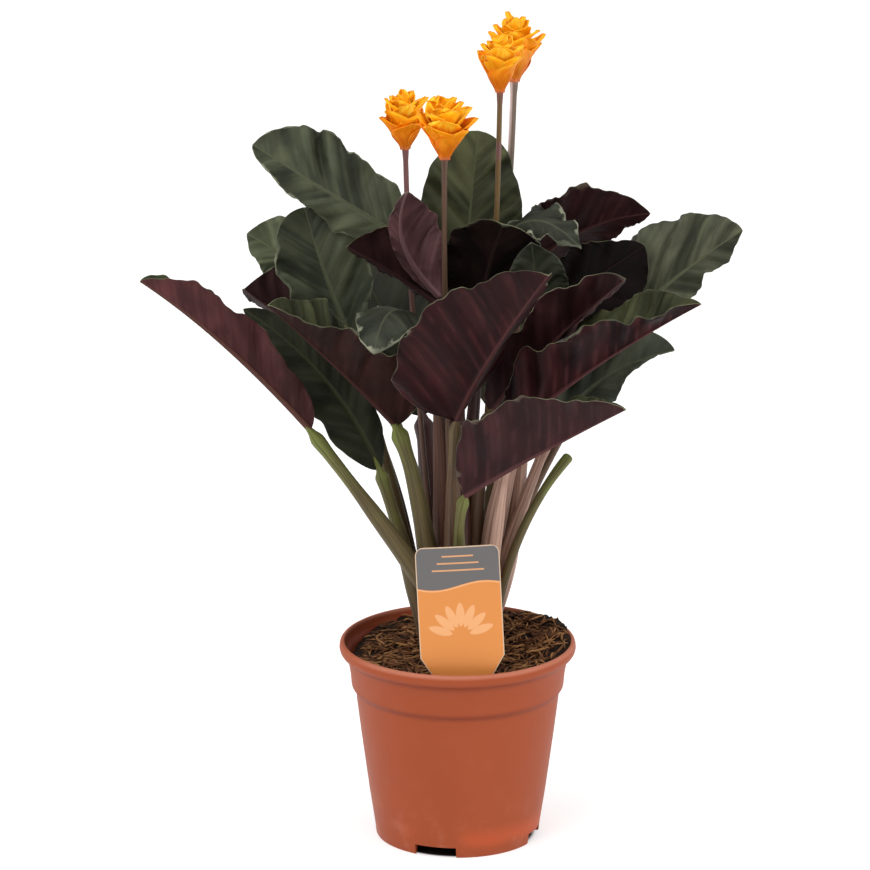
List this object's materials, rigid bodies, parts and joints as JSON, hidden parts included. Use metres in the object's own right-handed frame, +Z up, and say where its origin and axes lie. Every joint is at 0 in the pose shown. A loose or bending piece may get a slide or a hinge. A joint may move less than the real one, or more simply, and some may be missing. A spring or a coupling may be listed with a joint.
{
  "type": "potted calathea plant",
  "caption": "Flowering calathea with dark leaves, maroon beneath, on upright stems, orange bract heads on tall stalks, in a round tapered nursery pot with soil and a stick-in label.",
  "frame": {"origin": "centre of the pot's flat underside", "axes": "+Z up along the pot's axis, -Y towards the side with the label, +X to the right seen from that side"},
  "size_m": [0.3468, 0.2621, 0.489],
  "materials": {
    "pot_plastic": "matte moulded terracotta colour",
    "soil": "dry fibrous potting mix",
    "label_card": "printed plastic card",
    "leaf_green": "upper side, dark grey-green with a dull sheen",
    "leaf_maroon": "underside, dark maroon with a dull sheen",
    "green_stem": "smooth olive green",
    "purple_stem": "smooth brownish purple",
    "flower_stalk": "smooth brownish pink",
    "flower_bracts": "satin bright orange"
  },
  "bodies": {
    "root": {"cut_stem_stub": "green_stem", "flower_front_head": "flower_bracts", "flower_front_stalk": "flower_stalk", "flower_left_head": "flower_bracts", "flower_left_stalk": "flower_stalk", "flower_rear_head": "flower_bracts", "flower_rear_stalk": "flower_stalk", "flower_right_head": "flower_bracts", "flower_right_stalk": "flower_stalk", "leaf_curled_blade": "leaf_green", "leaf_curled_stem": "green_stem", "leaf_dark_left_blade": "leaf_maroon", "leaf_dark_left_stem": "purple_stem", "leaf_drooping_blade": "leaf_green", "leaf_drooping_stem": "purple_stem", "leaf_far_left_blade": "leaf_maroon", "leaf_far_left_stem": "green_stem", "leaf_far_right_blade": "leaf_green", "leaf_far_right_stem": "green_stem", "leaf_front_blade": "leaf_maroon", "leaf_front_left_blade": "leaf_maroon", "leaf_front_left_stem": "green_stem", "leaf_front_right_blade": "leaf_maroon", "leaf_front_right_stem": "green_stem", "leaf_front_stem": "green_stem", "leaf_heart_left_blade": "leaf_maroon", "leaf_heart_left_stem": "purple_stem", "leaf_heart_right_blade": "leaf_maroon", "leaf_heart_right_stem": "purple_stem", "leaf_heart_tall_blade": "leaf_maroon", "leaf_heart_tall_stem": "purple_stem", "leaf_high_centre_blade": "leaf_green", "leaf_high_centre_stem": "green_stem", "leaf_high_left_blade": "leaf_green", "leaf_high_left_stem": "purple_stem", "leaf_high_right_blade": "leaf_maroon", "leaf_high_right_stem": "purple_stem", "leaf_inner_blade": "leaf_green", "leaf_inner_right_blade": "leaf_maroon", "leaf_inner_right_stem": "purple_stem", "leaf_inner_stem": "purple_stem", "leaf_low_left_blade": "leaf_green", "leaf_low_left_stem": "green_stem", "leaf_low_right_blade": "leaf_green", "leaf_low_right_stem": "purple_stem", "leaf_mid_left_blade": "leaf_green", "leaf_mid_left_stem": "green_stem", "leaf_mid_right_blade": "leaf_maroon", "leaf_mid_right_stem": "purple_stem", "leaf_outer_left_blade": "leaf_green", "leaf_outer_left_stem": "green_stem", "leaf_rear_left_blade": "leaf_green", "leaf_rear_left_stem": "green_stem", "leaf_rear_right_blade": "leaf_green", "leaf_rear_right_stem": "green_stem", "leaf_shaded_right_blade": "leaf_maroon", "leaf_shaded_right_stem": "purple_stem", "plant_label": "label_card", "pot": "pot_plastic", "soil": "soil"}
  },
  "joints": []
}
